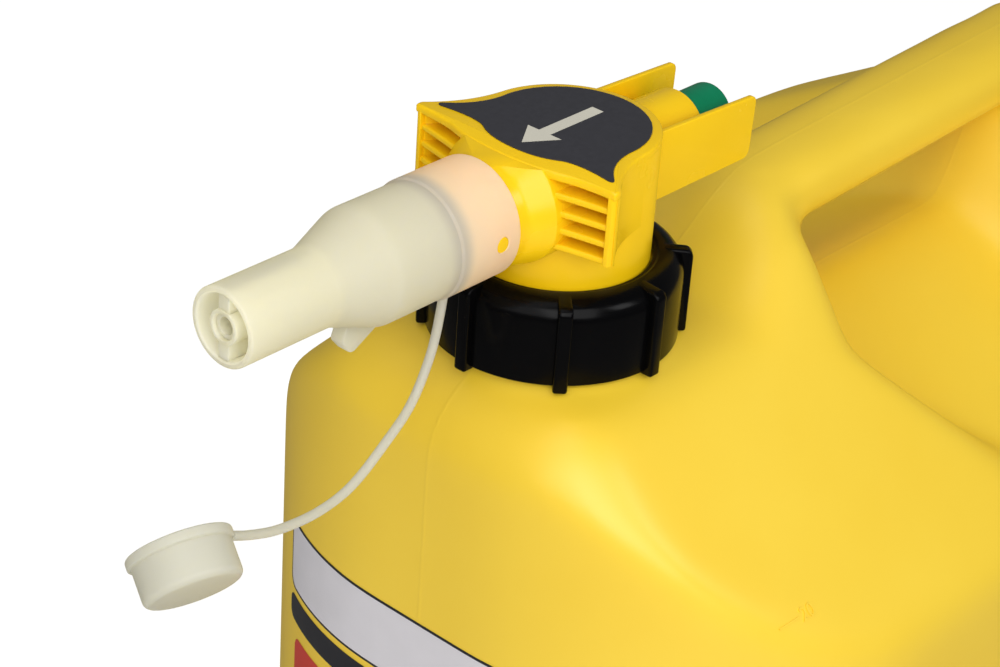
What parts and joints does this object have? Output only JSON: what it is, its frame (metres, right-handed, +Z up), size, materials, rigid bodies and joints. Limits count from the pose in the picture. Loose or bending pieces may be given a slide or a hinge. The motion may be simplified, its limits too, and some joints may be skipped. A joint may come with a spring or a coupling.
{
  "type": "fuel can with push-button spout",
  "caption": "Upright moulded plastic fuel can with a grab handle, screw collar, push-button pouring spout and tethered dust cap.",
  "frame": {"origin": "centre of the can's footprint, on the floor it stands on", "axes": "+Z up, the spout points along -Y, the handle runs along +Y, +X to the right seen from behind the spout"},
  "size_m": [0.24, 0.4675, 0.4133],
  "materials": {
    "yellow_hdpe": "satin",
    "black_plastic": "satin",
    "black_rubber": "matte",
    "label_film": "satin",
    "green_plastic": "gloss",
    "milky_plastic": "satin",
    "bright_steel": "satin"
  },
  "bodies": {
    "can": {"tank": "yellow_hdpe", "neck": "yellow_hdpe"},
    "spout": {"spout_housing": "yellow_hdpe", "neck_gasket": "black_rubber", "spout_label": "label_film", "stem_seal": "black_rubber", "spring_washer": "bright_steel", "return_spring": "bright_steel", "nozzle": "milky_plastic", "nozzle_seal": "black_rubber", "vent_tube": "milky_plastic", "tether": "milky_plastic", "dust_cap": "milky_plastic"},
    "collar": {"collar": "black_plastic"},
    "button": {"push_button": "green_plastic", "valve_stem": "milky_plastic", "valve_poppet": "milky_plastic", "poppet_seal": "black_rubber"}
  },
  "joints": [
    {"name": "spout_lift", "type": "slide", "parent": "can", "child": "spout", "axis": [0, 0, 1], "range_m": [0, 0.0125]},
    {"name": "collar_turn", "type": "hinge", "parent": "spout", "child": "collar", "pos_m": [0, -0.1195, 0.345], "axis": [0, 0, 1], "range_deg": [0, 900]},
    {"name": "button_press", "type": "slide", "parent": "spout", "child": "button", "axis": [0, -1, 0], "range_m": [0, 0.009], "stiffness_N_per_m": 900, "springref_m": -0.004, "deforming": ["return_spring"]}
  ],
  "couplings": [
    {"joint": "collar_turn", "follows": "spout_lift", "rad_per_m": 1256.6}
  ]
}
